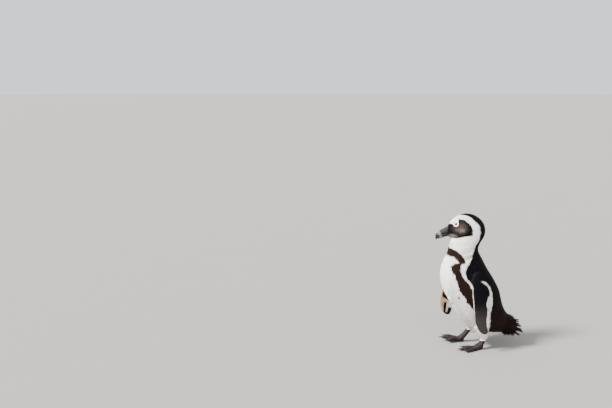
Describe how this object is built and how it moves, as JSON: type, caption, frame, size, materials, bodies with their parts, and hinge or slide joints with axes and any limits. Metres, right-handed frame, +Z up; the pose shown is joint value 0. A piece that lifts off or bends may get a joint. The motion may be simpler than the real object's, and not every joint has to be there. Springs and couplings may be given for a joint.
{
  "type": "african penguin",
  "caption": "Life-size still model of an adult African penguin in mid-step on webbed feet, neck drawn in, flippers slightly held out, short stiff tail.",
  "frame": {"origin": "On the floor, under the middle of the bounding box, between the two feet.", "axes": "+Z up; the bird faces -Y and its left side is +X. The soles of both feet lie in the plane Z = 0."},
  "size_m": [0.2213, 0.3118, 0.4545],
  "materials": {
    "white_plumage": "short dense matte feathers, off-white",
    "black_plumage": "short dense feathers, black with a brown cast, faint sheen",
    "bill_horn": "satin dark horn with a pale band near the tip",
    "foot_skin": "scaly matte skin, grey-brown",
    "claw_horn": "worn dark horn",
    "eye": "wet dark brown eye"
  },
  "bodies": {
    "root": {"trunk": "white_plumage", "neck": "white_plumage", "head": "white_plumage", "leg_left": "white_plumage", "leg_right": "white_plumage", "tail": "black_plumage", "flipper_left": "black_plumage", "flipper_right": "black_plumage", "bill_upper": "bill_horn", "bill_lower": "bill_horn", "eye_left": "eye", "eye_right": "eye", "foot_left": "foot_skin", "foot_right": "foot_skin", "claw_left_inner": "claw_horn", "claw_left_middle": "claw_horn", "claw_left_outer": "claw_horn", "claw_left_hind": "claw_horn", "claw_right_inner": "claw_horn", "claw_right_middle": "claw_horn", "claw_right_outer": "claw_horn", "claw_right_hind": "claw_horn"}
  },
  "joints": []
}
